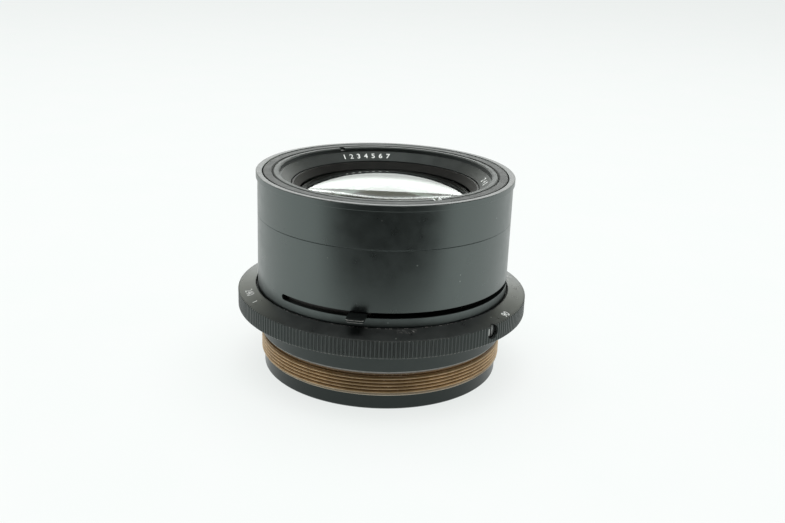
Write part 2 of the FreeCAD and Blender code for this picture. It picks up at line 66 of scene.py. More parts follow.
BARREL_R = radius_of("rear_shell")
BEAD_R = radius_of("front_shell")
SEAM_Z = bottom_of("front_shell")
TOP_Z = top_of("front_shell")
RING_R = radius_of("aperture_ring")
RING_Z0 = bottom_of("aperture_ring")
RING_Z1 = top_of("aperture_ring")
SHELL_Z0 = bottom_of("rear_shell")
SLEEVE_Z0 = bottom_of("mount_thread_sleeve")
SLEEVE_Z1 = top_of("mount_thread_sleeve")
NECK_R = radius_of("main_barrel")
BAND_R = radius_of("rear_cell_housing")
HOUSING_R = radius_of("front_cell_housing")
LIP_Z = top_of("name_ring")
NAME_R = radius_of("name_ring")
RETAINER_R = radius_of("front_glass_retainer")
TAB_LOW, TAB_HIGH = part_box("slot_cover_tab")
SCREW_LOW, SCREW_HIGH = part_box("aperture_drive_screw")
SCREW_Z = (SCREW_LOW.z + SCREW_HIGH.z) / 2

# Shape details that a box doesn't give: radii, heights beside a node's ends, and azimuths.
TAB_R = 41.85 * MM
BEVEL_R = RING_R - 5.29 * MM
GRIP_TOP = RING_Z1 - 1.65 * MM
SLOT_Z0, SLOT_Z1 = SHELL_Z0 + 3.37 * MM, SHELL_Z0 + 4.96 * MM
SLOT_START, SLOT_SWEEP = -47.5, 127.5
SHELL_BORE = BARREL_R - 1.48 * MM
SCREW_AZIMUTH = 47.0
TAB_AZIMUTH = -9.0
THREAD_R = 36.0 * MM
THREAD_PITCH = 1.0 * MM
FLUTES = 240
NOTCH_AZIMUTHS = (26.1, -152.9)
CONE_LOW = (27.4 * MM, LIP_Z - 3.54 * MM)
CONE_HIGH = (30.3 * MM, LIP_Z - 1.29 * MM)


def around(radius, azimuth, height):
    """A point at a radius, an azimuth in degrees and a height."""
    angle = math.radians(azimuth)
    return Vector((radius * math.sin(angle), -radius * math.cos(angle), height))


# ---- meshes -------------------------------------------------------------------------------------

def shade(mesh):
    """Smooth shading, apart from edges that turn by more than 35 degrees."""
    for polygon in mesh.polygons:
        polygon.use_smooth = True
    mesh.set_sharp_from_angle(angle=math.radians(35))


def place_in_scene(name, data):
    made = bpy.data.objects.new(name, data)
    bpy.context.scene.collection.objects.link(made)
    return made


def new_object(name, vertices, faces):
    mesh = bpy.data.meshes.new(name)
    mesh.from_pydata([tuple(v) for v in vertices], [], faces)
    mesh.validate()
    shade(mesh)
    return place_in_scene(name, mesh)


def soften(outline, radius=0.08 * MM, steps=3):
    """A closed outline with its corners rounded, and a support point beside each round."""
    made = []
    count = len(outline)
    for i, corner in enumerate(outline):
        here = Vector(corner)
        before, after = Vector(outline[i - 1]) - here, Vector(outline[(i + 1) % count]) - here
        cut = min(radius, 0.3 * before.length, 0.3 * after.length)
        start, end = here + before.normalized() * cut, here + after.normalized() * cut
        if before.length > 3 * cut:
            made.append(here + before.normalized() * cut * 1.5)
        for step in range(steps + 1):
            t = step / steps
            made.append(start * (1 - t) ** 2 + here * 2 * t * (1 - t) + end * t * t)
        if after.length > 3 * cut:
            made.append(here + after.normalized() * cut * 1.5)
    return made


def sweep_round(name, columns, azimuths=None):
    """A solid of revolution from closed (radius, height) outlines, one for each column."""
    count, rows = len(columns), len(columns[0])
    if azimuths is None:
        azimuths = [360.0 * number / count for number in range(count)]
    vertices, faces = [], []
    for azimuth, outline in zip(azimuths, columns):
        vertices += [around(radius, azimuth, height) for radius, height in outline]
    for c in range(count):
        here, there = c * rows, (c + 1) % count * rows
        for r in range(rows):
            up = (r + 1) % rows
            faces.append((here + r, there + r, there + up, here + up))
    return new_object(name, vertices, faces)


def lathe(name, outline, radius=0.08 * MM):
    """A turned piece from a closed outline that runs anticlockwise in (radius, height)."""
    return sweep_round(name, [soften(outline, radius)] * SEGMENTS)


def lens_element(name, edge, low, low_curve, high, high_curve):
    """A glass between two spherical faces; a negative curve drops towards the edge."""
    rings, segments = 36, 192

    def face(vertex, curve, radius):
        bend = abs(curve) - math.sqrt(curve ** 2 - radius ** 2)
        return vertex + math.copysign(bend, curve)

    steps = [edge * math.sin(math.pi / 2 * n / rings) for n in range(1, rings + 1)]
    profile = [(r, face(high, high_curve, r)) for r in steps]
    profile += [(r, face(low, low_curve, r)) for r in reversed(steps)]
    vertices = [Vector((0, 0, high))]
    for radius, height in profile:
        vertices += [around(radius, 360.0 * n / segments, height) for n in range(segments)]
    vertices.append(Vector((0, 0, low)))
    faces = []
    for n in range(segments):
        nxt = (n + 1) % segments
        faces.append((0, 1 + n, 1 + nxt))
        for ring in range(len(profile) - 1):
            a, b = 1 + ring * segments, 1 + (ring + 1) * segments
            faces.append((a + n, b + n, b + nxt, a + nxt))
        last = 1 + (len(profile) - 1) * segments
        faces.append((len(vertices) - 1, last + nxt, last + n))
    piece = new_object(name, vertices, faces)
    per_wedge = len(profile) + 1
    for number, polygon in enumerate(piece.data.polygons):
        polygon.material_index = 0 if number % per_wedge < rings else 1
    return piece


def carve(piece, cutters):
    """Cut the cutters out of a piece, and remove them."""
    for cutter in cutters:
        modifier = piece.modifiers.new("cut", "BOOLEAN")
        modifier.operation = "DIFFERENCE"
        modifier.solver = "EXACT"
        modifier.object = cutter
    graph = bpy.context.evaluated_depsgraph_get()
    mesh = bpy.data.meshes.new_from_object(piece.evaluated_get(graph))
    piece.modifiers.clear()
    piece.data = mesh
    shade(mesh)
    for cutter in cutters:
        bpy.data.objects.remove(cutter)


def radial_bar(name, azimuth, height, radius, start, end, sides=64):
    """A round bar that points away from the axis."""
    vertices, faces = [], []
    away, across = around(1, azimuth, 0), around(1, azimuth + 90, 0)
    for distance in (start, end):
        for n in range(sides):
            turn = 2 * math.pi * n / sides
            vertices.append(away * distance + across * radius * math.cos(turn)
                            + Vector((0, 0, height + radius * math.sin(turn))))
    for n in range(sides):
        nxt = (n + 1) % sides
        faces.append((n, nxt, sides + nxt, sides + n))
    faces.append(tuple(range(sides - 1, -1, -1)))
    faces.append(tuple(range(sides, 2 * sides)))
    return new_object(name, vertices, faces)


def radial_block(name, azimuth, start, end, width, bottom, top):
    """A box that points away from the axis."""
    away, across = around(1, azimuth, 0), around(1, azimuth + 90, 0)
    vertices = [away * d + across * w + Vector((0, 0, z))
                for d in (start, end) for w in (-width / 2, width / 2) for z in (bottom, top)]
    faces = [(0, 1, 3, 2), (4, 6, 7, 5), (0, 4, 5, 1), (2, 3, 7, 6), (0, 2, 6, 4), (1, 5, 7, 3)]
    return new_object(name, vertices, faces)


def finish_piece(piece, body, material, slot, *nodes):
    """Give a piece its material and its body, and hide the CAD nodes it stands for. The slot is not
    used.
    """
    piece.data.materials.clear()
    piece.data.materials.append(material)
    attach(piece, body)
    if nodes:
        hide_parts(*nodes)


# ---- materials ----------------------------------------------------------------------------------
# Noise scales are per metre. A mask function gives the share of bare metal or paint at a point;
# some masks also lay on painted light.

class Shader:
    """A material's node tree, with short calls for the nodes that are used here."""

    def __init__(self, name):
        self.material = bpy.data.materials.new(name)
        self.material.use_nodes = True
        self.tree = self.material.node_tree
        self.tree.nodes.clear()
        self.output = self.tree.nodes.new("ShaderNodeOutputMaterial")

    def node(self, kind, inputs=None, **settings):
        made = self.tree.nodes.new(kind)
        for name, value in settings.items():
            setattr(made, name, value)
        for name, value in (inputs or {}).items():
            self.put(made.inputs[name], value)
        return made

    def put(self, socket, value):
        if isinstance(value, bpy.types.NodeSocket):
            self.tree.links.new(value, socket)
        else:
            socket.default_value = value

    def math(self, operation, first, second=0.0, third=0.0):
        made = self.node("ShaderNodeMath", operation=operation)
        for socket, value in zip(made.inputs, (first, second, third)):
            self.put(socket, value)
        return made.outputs[0]

    def position(self):
        return self.node("ShaderNodeTexCoord").outputs["Object"]

    def axes(self):
        split = self.node("ShaderNodeSeparateXYZ", {0: self.position()})
        return split.outputs

    def length(self, across, along):
        return self.math("SQRT", self.math("ADD", self.math("MULTIPLY", across, across),
                                           self.math("MULTIPLY", along, along)))

    def radius(self):
        x, y, _ = self.axes()
        return self.length(x, y)

    def highest(self, *values):
        """The largest of some values at each point."""
        top = values[0]
        for value in values[1:]:
            top = self.math("MAXIMUM", top, value)
        return top

    def azimuth(self):
        """Degrees round the axis, as around() counts them."""
        x, y, _ = self.axes()
        turn = self.math("ARCTAN2", x, self.math("MULTIPLY", y, -1.0))
        return self.math("MULTIPLY", turn, 180 / math.pi)

    def near(self, value, middle, reach, fade):
        """1 within reach of the middle, fading to 0."""
        away = self.math("ABSOLUTE", self.math("SUBTRACT", value, middle))
        return self.ramp(away, reach, reach + fade, 1.0, 0.0)

    def noise(self, scale, detail=3.0, roughness=0.5):
        return self.node("ShaderNodeTexNoise", {
            "Vector": self.position(), "Scale": scale, "Detail": detail,
            "Roughness": roughness}).outputs[0]

    def ramp(self, value, low, high, to_low=0.0, to_high=1.0):
        """A smooth step from to_low to to_high as value goes from low to high."""
        made = self.node("ShaderNodeMapRange", interpolation_type="SMOOTHSTEP")
        for socket, number in zip(made.inputs, (value, low, high, to_low, to_high)):
            self.put(socket, number)
        return made.outputs[0]

    def mix(self, share, first, second):
        made = self.node("ShaderNodeMix", data_type="RGBA")
        for index, value in ((0, share), (6, first), (7, second)):
            self.put(made.inputs[index], value)
        return made.outputs[2]

    def bump(self, height, strength, distance):
        return self.node("ShaderNodeBump", {
            "Height": height, "Strength": strength, "Distance": distance}).outputs[0]

    def finish(self, shader):
        """Make a shader node the material's surface."""
        self.tree.links.new(shader.outputs[0], self.output.inputs["Surface"])
        return self.material

    def surface(self, **inputs):
        """Make a principled surface, and finish the material."""
        names = {name.replace("_", " "): value for name, value in inputs.items()}
        return self.finish(self.node("ShaderNodeBsdfPrincipled", names))


def colour(red, green, blue):
    return (red, green, blue, 1.0)


def specks(shader, scale, share, size):
    """Small sparse grains: 1 on a grain and 0 elsewhere."""
    cells = shader.node("ShaderNodeTexVoronoi", {
        "Vector": shader.position(), "Scale": scale, "Randomness": 1.0})
    near = shader.math("LESS_THAN", cells.outputs["Distance"], size)
    pick = shader.node("ShaderNodeSeparateColor", {0: cells.outputs["Color"]})
    chosen = shader.math("GREATER_THAN", pick.outputs[0], 1.0 - share)
    return shader.math("MULTIPLY", near, chosen)


def anodised(name, base=(0.0056, 0.0066, 0.0063), rough=0.30, dust=0.10, wear_and_light=None, lines=0.0,
             sheen=2.1, worn_and_lit=(0.42, 0.41, 0.39), bare=0.8):
    """Black anodised aluminium: satin, faintly mottled, with turning marks and dust, and with the
    colour its mask lays on: rubbed metal, and painted light on the rim, the tab and the near notch.
    """
    s = Shader(name)
    mottle = s.noise(260.0, 4.0, 0.6)
    fine = s.noise(5200.0, 2.0)
    dark = colour(*(c * 0.8 for c in base))
    light = colour(*(c * 1.25 for c in base))
    skin = s.mix(s.ramp(mottle, 0.3, 0.7), dark, light)
    grain = specks(s, 420.0, dust, 0.085)
    skin = s.mix(s.math("MULTIPLY", grain, 0.5), skin, colour(0.30, 0.32, 0.30))
    roughness = s.ramp(mottle, 0.25, 0.75, rough - 0.03, rough + 0.04)
    height = fine
    if lines:
        turned = s.node("ShaderNodeTexWave", {
            "Vector": s.position(), "Scale": 2600.0, "Distortion": 1.5, "Detail": 1.0},
            bands_direction="Z").outputs[1]
        height = s.math("MULTIPLY_ADD", turned, lines, fine)
    metallic = 0.0
    index = sheen(s) if callable(sheen) else sheen
    # The mask's share takes the given colour: rubbed metal, and painted light from the rim, tab and
    # notch masks.
    if wear_and_light is not None:
        mask = wear_and_light(s)
        skin = s.mix(mask, skin, colour(*worn_and_lit))
        metallic = s.math("MULTIPLY", mask, bare)
    return s.surface(Base_Color=skin, Roughness=roughness, IOR=index, Metallic=metallic,
                     Specular_Tint=colour(0.86, 1.0, 0.96),
                     Normal=s.bump(height, 0.2, 0.002 * MM))


def ring_wear(s):
    """Chips along the bevel's inner edge, faint ones at the flutes' ends, and a faint lightening of
    the flutes' outer faces round the front, near azimuth 0.
    """
    radius, azimuth = s.radius(), s.azimuth()
    _, _, z = s.axes()
    chips = s.noise(1900.0, 2.0, 0.6)
    left_patch, front_patch = s.near(azimuth, -39.0, 6.0, 3.0), s.near(azimuth, 10.0, 21.0, 4.0)
    places = s.highest(left_patch, front_patch, 0.2)
    inner = s.ramp(radius, BEVEL_R + 0.16 * MM, BEVEL_R + 0.26 * MM, 1.0, 0.0)
    inner = s.math("MULTIPLY", inner, s.ramp(chips, 0.56, 0.60))
    inner = s.math("MULTIPLY", inner, places)
    scuff = s.math("MULTIPLY", s.near(azimuth, 11.0, 2.5, 2.0), s.ramp(chips, 0.52, 0.66, 0.0, 0.6))
    scuff = s.math("MULTIPLY", scuff, s.near(radius, BEVEL_R + 1.3 * MM, 0.4 * MM, 0.5 * MM))
    foot = s.ramp(z, RING_Z0 + 0.1 * MM, RING_Z0 + 0.35 * MM, 1.0, 0.0)
    foot = s.math("MULTIPLY", foot, s.ramp(chips, 0.52, 0.62, 0.0, 0.35))
    foot = s.math("MULTIPLY", foot, s.ramp(radius, RING_R - 0.60 * MM, RING_R - 0.40 * MM))
    head = s.math("MULTIPLY", s.near(z, GRIP_TOP, 0.02 * MM, 0.14 * MM),
                  s.ramp(radius, RING_R - 0.3 * MM, RING_R - 0.12 * MM))
    head = s.math("MULTIPLY", head, s.ramp(s.noise(1300.0, 2.0), 0.60, 0.68, 0.0, 0.3))
    # Lighter round the front, near azimuth 0: a faint lightening of the flutes' outer faces.
    front_lift = s.math("MULTIPLY", s.near(azimuth, 0.0, 16.0, 26.0),
                  s.ramp(radius, RING_R - 0.60 * MM, RING_R - 0.40 * MM, 0.0, 0.035))
    return s.highest(inner, scuff, foot, head, front_lift)


def ring_sheen(s):
    """The groove inside the ring's bevel doesn't shine: its shine is taken out, as painted shade
    for the dark gap between the barrel and the ring.
    """
    return s.ramp(s.radius(), BEVEL_R + 0.14 * MM, BEVEL_R + 0.30 * MM, 1.02, 1.58)


def neck_wear(s):
    """The chamfer under the neck is bare metal."""
    _, _, z = s.axes()
    edge = s.ramp(z, SLEEVE_Z1 + 0.62 * MM, SLEEVE_Z1 + 0.72 * MM, 1.0, 0.0)
    return s.math("MULTIPLY", edge, s.ramp(s.noise(700.0, 3.0), 0.2, 0.6, 0.35, 0.8))


def rim_wear_and_highlight(s):
    """A thin lighter line just under the front rim's edge: partly rubbed metal where the rim is
    handled, partly a painted highlight that widens the rim's edge highlight.
    """
    _, _, z = s.axes()
    edge = s.near(z, TOP_Z - 0.2 * MM, 0.04 * MM, 0.08 * MM)
    return s.math("MULTIPLY", edge, s.ramp(s.noise(240.0, 4.0), 0.45, 0.7, 0.0, 0.2))


def rim_sheen(s):
    """The rim's flat end is duller than the tube's wall."""
    _, _, z = s.axes()
    return s.ramp(z, TOP_Z - 0.06 * MM, TOP_Z - 0.01 * MM, 2.1, 1.25)


def notch_painted_reflection(s):
    """The near spanner notch is painted pale, a little beyond its edges: a painted reflection, for
    the bright front glass seen through the notch.
    """
    _, _, z = s.axes()
    spot = s.math("MULTIPLY", s.near(z, LIP_Z - 0.35 * MM, 0.41 * MM, 0.02 * MM),
                  s.near(s.azimuth(), NOTCH_AZIMUTHS[0], 1.9, 0.1))
    return s.math("MULTIPLY", spot, s.ramp(s.radius(), 30.75 * MM, 30.85 * MM))


def tab_edge_wear_and_highlight(s):
    """Bright lines along the two front edges and the corners of the tab: partly rubbed metal,
    partly a painted highlight where those edges catch the light.
    """
    _, _, z = s.axes()
    reach = s.ramp(s.radius(), TAB_R - 0.9 * MM, TAB_R - 0.15 * MM)
    top = s.near(z, TAB_HIGH.z - 0.27 * MM, 0.04 * MM, 0.05 * MM)
    foot = s.ramp(z, TAB_LOW.z + 0.12 * MM, TAB_LOW.z + 0.20 * MM, 1.0, 0.0)
    edge = s.math("MAXIMUM", top, foot)
    patches = s.ramp(s.noise(900.0, 3.0, 0.6), 0.36, 0.55, 0.3, 1.0)
    return s.math("MULTIPLY", s.math("MULTIPLY", edge, reach), patches)


def worn_bronze():
    """Tarnished thread: brown in the roots, rubbed tan along the crests, pale at its end."""
    s = Shader("worn_bronze")
    radius = s.radius()
    _, _, z = s.axes()
    height = s.ramp(radius, THREAD_R - 0.55 * MM, THREAD_R - 0.05 * MM)
    stain = s.noise(320.0, 4.0, 0.65)
    rub = s.math("MULTIPLY", height, s.ramp(stain, 0.25, 0.7, 0.6, 1.0))
    skin = s.mix(rub, colour(0.20, 0.105, 0.030), colour(0.85, 0.61, 0.35))
    # Darker round the front, near azimuth 0.
    front_dark = s.near(s.azimuth(), 0.0, 8.0, 22.0)
    skin = s.mix(s.math("MULTIPLY", front_dark, 0.36), skin, colour(0.03, 0.018, 0.005))
    skin = s.mix(s.ramp(s.noise(1500.0, 3.0), 0.55, 0.75, 0.0, 0.35), skin,
                 colour(0.50, 0.42, 0.30))
    end = s.ramp(z, SLEEVE_Z0 + 0.50 * MM, SLEEVE_Z0 + 0.90 * MM, 0.8, 0.0)
    skin = s.mix(end, skin, colour(0.62, 0.57, 0.47))
    return s.surface(Base_Color=skin, Metallic=s.ramp(height, 0.0, 1.0, 0.05, 0.2),
                     Roughness=s.ramp(stain, 0.3, 0.7, 0.34, 0.46),
                     Normal=s.bump(s.noise(3500.0, 2.0), 0.3, 0.01 * MM))


def plain(name, base, rough, metallic=0.0):
    """Paint or metal with a faint mottle and a fine grain."""
    s = Shader(name)
    tone = s.ramp(s.noise(300.0, 3.0), 0.3, 0.7)
    skin = s.mix(tone, colour(*(c * 0.85 for c in base)), colour(*(c * 1.15 for c in base)))
    return s.surface(Base_Color=skin, Roughness=rough, Metallic=metallic,
                     Normal=s.bump(s.noise(4000.0, 2.0), 0.2, 0.004 * MM))


def lens_glass(name, tint, index):
    """Coated glass: clear when seen straight on, and a mirror at a glancing angle."""
    s = Shader(name)
    share = s.node("ShaderNodeFresnel", {"IOR": index}).outputs[0]
    clear = s.node("ShaderNodeBsdfTransparent", {"Color": colour(0.90, 0.93, 0.91)})
    smears = s.ramp(s.noise(120.0, 3.0), 0.4, 0.7, 0.02, 0.05)
    mirror_side = s.node("ShaderNodeBsdfGlossy", {"Color": tint, "Roughness": smears})
    return s.finish(s.node("ShaderNodeMixShader", {0: share, 1: clear.outputs[0],
                                                   2: mirror_side.outputs[0]}))


def blued_steel():
    """The iris: dark spring steel, in which each leaf has its own shade and faint rub marks."""
    s = Shader("blade_steel")
    own = s.node("ShaderNodeObjectInfo").outputs["Random"]
    skin = s.mix(own, colour(0.012, 0.013, 0.017), colour(0.13, 0.135, 0.15))
    rubbed = s.ramp(s.noise(420.0, 4.0, 0.6), 0.5, 0.75, 0.0, 0.25)
    skin = s.mix(rubbed, skin, colour(0.16, 0.16, 0.165))
    return s.surface(Base_Color=skin, Metallic=0.6,
                     Roughness=s.ramp(s.noise(900.0, 3.0), 0.3, 0.7, 0.32, 0.46),
                     Normal=s.bump(s.noise(4000.0, 2.0), 0.2, 0.004 * MM))


def clear_glass():
    """The coated glasses inside: clear, with a faint green tint and a little haze."""
    s = Shader("inner_glass")
    haze = s.ramp(s.noise(90.0, 3.0), 0.45, 0.75, 0.0, 0.03)
    return s.surface(Base_Color=colour(0.95, 0.985, 0.965), Roughness=haze, IOR=1.2,
                     Transmission_Weight=1.0, Specular_Tint=colour(0.7, 0.85, 0.95))


BLACK = anodised("satin_black", lines=0.25)
BLACK_RING = anodised("satin_black_ring", base=(0.0190, 0.0204, 0.0197), rough=0.30, dust=0.12,
                      wear_and_light=ring_wear, sheen=ring_sheen)
BLACK_NECK = anodised("satin_black_neck", base=(0.0165, 0.0178, 0.0172), rough=0.34,
                      wear_and_light=neck_wear, lines=0.25, sheen=1.55)
BLACK_BAND = anodised("satin_black_band", rough=0.30, dust=0.12, lines=0.3, sheen=1.47)
BLACK_RIM = anodised("satin_black_rim", wear_and_light=rim_wear_and_highlight, lines=0.25, sheen=rim_sheen)
BLACK_CELL = anodised("satin_black_cell", base=(0.014, 0.0150, 0.0142), rough=0.5, dust=0.03,
                      sheen=1.28)
# The near notch's pale colour below is a painted reflection of the bright front glass.
BLACK_NAME = anodised("satin_black_name", base=(0.0185, 0.0196, 0.0186), rough=0.5, dust=0.03,
                      sheen=1.5, wear_and_light=notch_painted_reflection, worn_and_lit=(0.62, 0.64, 0.63), bare=0.0)
BAFFLE = anodised("baffle_black", base=(0.0085, 0.0075, 0.0068), rough=0.5, dust=0.02, sheen=1.3)
BLACK_TAB = anodised("satin_black_tab", rough=0.36, dust=0.03, wear_and_light=tab_edge_wear_and_highlight, sheen=1.4)
MATT = plain("matt_black", (0.011, 0.012, 0.012), 0.6)
BRONZE = worn_bronze()
WHITE_FILL = plain("engraving_white", (0.62, 0.64, 0.62), 0.6)
GREY_FILL = plain("engraving_worn", (0.42, 0.43, 0.42), 0.5)
FAINT_FILL = plain("engraving_faint", (0.10, 0.105, 0.10), 0.34)
SCREW_STEEL = plain("screw_steel", (0.34, 0.35, 0.34), 0.28, 0.9)
BLADE_STEEL = blued_steel()
BLACK_BRASS = plain("blackened_brass", (0.02, 0.018, 0.016), 0.4, 0.2)
FRONT_GLASS = lens_glass("front_glass", colour(0.97, 1.0, 0.98), 1.62)
CEMENTED = lens_glass("cemented_face", colour(0.75, 0.85, 0.8), 1.1)
INNER_GLASS = clear_glass()


# ---- pieces -------------------------------------------------------------------------------------

def make_front_shell():
    """The tube over the seam, with a small bead round its open end."""
    inner = SHELL_BORE - 0.05 * MM
    mouth = BARREL_R - 1.36 * MM
    step = TOP_Z - 2.64 * MM
    ledge = TOP_Z - 1.70 * MM
    piece = lathe("front_shell_tube", [
        (inner, SEAM_Z), (BARREL_R - 0.12 * MM, SEAM_Z), (BARREL_R, SEAM_Z + 0.12 * MM),
        (BARREL_R, ledge), (BEAD_R, ledge + 0.06 * MM), (BEAD_R, TOP_Z - 0.16 * MM),
        (BEAD_R - 0.16 * MM, TOP_Z), (mouth + 0.23 * MM, TOP_Z), (mouth, TOP_Z - 0.2 * MM),
        (mouth, step), (inner, step)])
    finish_piece(piece, "barrel", BLACK_RIM, "satin_black", "front_shell")


def make_rear_shell():
    """The tube with the stop slot: its outline opens into two loops along the slot."""
    half = (SLOT_Z1 - SLOT_Z0) / 2
    middle = (SLOT_Z0 + SLOT_Z1) / 2
    lip = 0.06 * MM
    top = SEAM_Z
    azimuths = [360.0 * n / SEGMENTS for n in range(SEGMENTS)]
    ends = (SLOT_START, SLOT_START + SLOT_SWEEP)
    cap = math.degrees(half / BARREL_R)
    for end, side in ((ends[0], 1), (ends[1], -1)):
        for step in range(9):
            azimuths.append(end + side * cap * (1 - math.cos(math.pi / 2 * step / 8)))
    azimuths = sorted(a % 360 for a in azimuths)
    azimuths = [a for i, a in enumerate(azimuths) if a - azimuths[i - 1] > 0.004 or i == 0]

    def opening(azimuth):
        """Half the slot's height at an azimuth: 0 outside it."""
        into = (azimuth - ends[0] + 1e-6) % 360
        if into > SLOT_SWEEP + 2e-6:
            return 0.0
        beyond = max(cap - into, into - (SLOT_SWEEP - cap), 0.0)
        return half * math.sqrt(max(0.0, 1 - (beyond / cap) ** 2))

    rim = 0.12 * MM
    vertices, faces = [], []
    rows = 12
    gaps = [opening(a) for a in azimuths]
    for azimuth, gap in zip(azimuths, gaps):
        edge = min(lip, gap)
        outline = [
            (SHELL_BORE, SHELL_Z0), (BARREL_R - 0.05 * MM, SHELL_Z0),
            (BARREL_R, SHELL_Z0 + 0.05 * MM), (BARREL_R, middle - gap - edge),
            (BARREL_R - edge, middle - gap), (SHELL_BORE, middle - gap),
            (SHELL_BORE, middle + gap), (BARREL_R - edge, middle + gap),
            (BARREL_R, middle + gap + edge), (BARREL_R, top - rim), (BARREL_R - rim, top),
            (SHELL_BORE, top)]
        vertices += [around(radius, azimuth, height) for radius, height in outline]
    count = len(azimuths)
    for c in range(count):
        n = (c + 1) % count
        here, there = c * rows, n * rows
        is_open = gaps[c] > 0 or gaps[n] > 0
        if is_open:
            strips = [(0, 1), (1, 2), (2, 3), (3, 4), (4, 5), (5, 0),
                      (6, 7), (7, 8), (8, 9), (9, 10), (10, 11), (11, 6)]
        else:
            strips = [(0, 1), (1, 2), (2, 3), (3, 8), (8, 9), (9, 10), (10, 11), (11, 6), (6, 5),
                      (5, 0)]
        for a, b in strips:
            faces.append((here + a, there + a, there + b, here + b))
    mesh_builder = bmesh.new()
    points = [mesh_builder.verts.new(v) for v in vertices]
    for face in faces:
        mesh_builder.faces.new([points[i] for i in face])
    bmesh.ops.remove_doubles(mesh_builder, verts=mesh_builder.verts, dist=0.002 * MM)
    mesh = bpy.data.meshes.new("rear_shell_tube")
    mesh_builder.to_mesh(mesh)
    mesh_builder.free()
    shade(mesh)
    piece = place_in_scene("rear_shell_tube", mesh)
    finish_piece(piece, "barrel", BLACK, "satin_black", "rear_shell")


def flute_depth(phase):
    """Depth of a flute over one pitch: a flat land, then a rounded groove."""
    land, deep = 0.38, 0.34 * MM
    if phase < land:
        return 0.0
    inside = (phase - land) / (1 - land)
    return deep * math.sin(math.pi * inside) ** 0.8


def make_aperture_ring():
    """The bevelled ring, with a flute wherever the column's outer wall is drawn in."""
    phases = [0.0, 0.19, 0.38, 0.45, 0.56, 0.69, 0.82, 0.93]  # columns across one flute
    slope = (RING_Z1 - GRIP_TOP) / (RING_R - BEVEL_R)
    bore = RING_R - 7.26 * MM
    recess = BEVEL_R - 0.12 * MM
    floor = RING_Z1 - 1.0 * MM
    edge = 0.3 * MM
    azimuths = [360.0 * (flute + phase) / FLUTES for flute in range(FLUTES) for phase in phases]
    columns = []
    for phase in phases:
        deep = flute_depth(phase)
        wall = RING_R - deep
        foot = RING_Z0 + max(edge - deep, 0.02 * MM)
        corner = GRIP_TOP + deep * slope
        columns.append([
            (bore, RING_Z0), (bore + 1.0 * MM, RING_Z0), (RING_R - 1.2 * MM, RING_Z0),
            (min(RING_R - edge, wall - 0.02 * MM), RING_Z0), (wall, foot), (wall, foot + 0.4 * MM),
            (wall, corner - 0.35 * MM), (wall, corner), (wall - 0.09 * MM, corner + 0.04 * MM),
            (RING_R - 0.8 * MM, GRIP_TOP + 0.8 * MM * slope),
            (BEVEL_R + 0.6 * MM, RING_Z1 - 0.6 * MM * slope),
            (BEVEL_R + 0.12 * MM, RING_Z1 - 0.05 * MM), (BEVEL_R, RING_Z1 - 0.02 * MM),
            (recess, RING_Z1 - 0.14 * MM), (recess, floor), (bore, floor)])
    piece = sweep_round("aperture_ring_grip", columns * FLUTES, azimuths)
    carve(piece, [radial_bar("hole", SCREW_AZIMUTH, SCREW_Z, 2.1 * MM, RING_R - 3.1 * MM,
                             RING_R + MM)])
    finish_piece(piece, "aperture_ring", BLACK_RING, "satin_black", "aperture_ring")


def make_drive_screw():
    """A slotted screw, domed and sunk in its hole."""
    face = RING_R - 1.0 * MM
    head = 1.95 * MM
    sides = 48
    away, across = around(1, SCREW_AZIMUTH, 0), around(1, SCREW_AZIMUTH + 90, 0)
    profile = [(0.0, 0.0), (0.5, 0.0), (0.82, -0.06), (0.95, -0.16), (1.0, -0.3), (1.0, -2.0)]
    vertices, faces = [away * face + Vector((0, 0, SCREW_Z))], []
    for share, depth in profile[1:]:
        for n in range(sides):
            turn = 2 * math.pi * n / sides
            vertices.append(away * (face + depth * MM)
                            + across * head * share * math.cos(turn)
                            + Vector((0, 0, SCREW_Z + head * share * math.sin(turn))))
    for n in range(sides):
        nxt = (n + 1) % sides
        faces.append((0, 1 + n, 1 + nxt))
        for ring in range(len(profile) - 2):
            a, b = 1 + ring * sides, 1 + (ring + 1) * sides
            faces.append((a + n, b + n, b + nxt, a + nxt))
    last = 1 + (len(profile) - 2) * sides
    faces.append(tuple(last + n for n in range(sides - 1, -1, -1)))
    piece = new_object("drive_screw_head", vertices, faces)
    carve(piece, [radial_block("driver_slot", SCREW_AZIMUTH, face - 0.9 * MM, face + MM,
                               0.62 * MM, SCREW_Z - 3 * MM, SCREW_Z + 3 * MM)])
    finish_piece(piece, "aperture_ring", SCREW_STEEL, "screw_steel", "aperture_drive_screw")


def make_thread():
    """The helical thread: a 60-degree groove with flat crests, faded out at both ends."""
    columns, per_pitch = 256, 16
    bore = THREAD_R - 2.0 * MM
    relief_low, relief_high = SLEEVE_Z1 - 0.75 * MM, SLEEVE_Z1
    depth = 0.613 * MM
    rows = int((relief_low - SLEEVE_Z0) / THREAD_PITCH * per_pitch)
    outline_columns = []
    for c in range(columns):
        outline = [(bore, SLEEVE_Z0)]
        for r in range(rows + 1):
            height = SLEEVE_Z0 + (relief_low - SLEEVE_Z0) * r / rows
            phase = (height / THREAD_PITCH - c / columns + 0.5) % 1.0
            groove = 1 - abs(phase - 0.5) / 0.4375
            cut = depth * min(max(groove, 0.0) / 0.857, 1.0)
            start = (height - SLEEVE_Z0) / (0.55 * MM)
            chamfer = 0.6 * MM * max(0.0, 1 - start)
            run_out = 0.8 * MM * max(0.0, 1 - (relief_low - height) / (0.25 * MM))
            outline.append((THREAD_R - max(cut, chamfer, run_out), height))
        outline += [(THREAD_R - 0.8 * MM, relief_high), (bore, relief_high)]
        outline_columns.append(outline)
    piece = sweep_round("mount_thread", outline_columns)
    finish_piece(piece, "barrel", BRONZE, "worn_bronze", "mount_thread_sleeve")


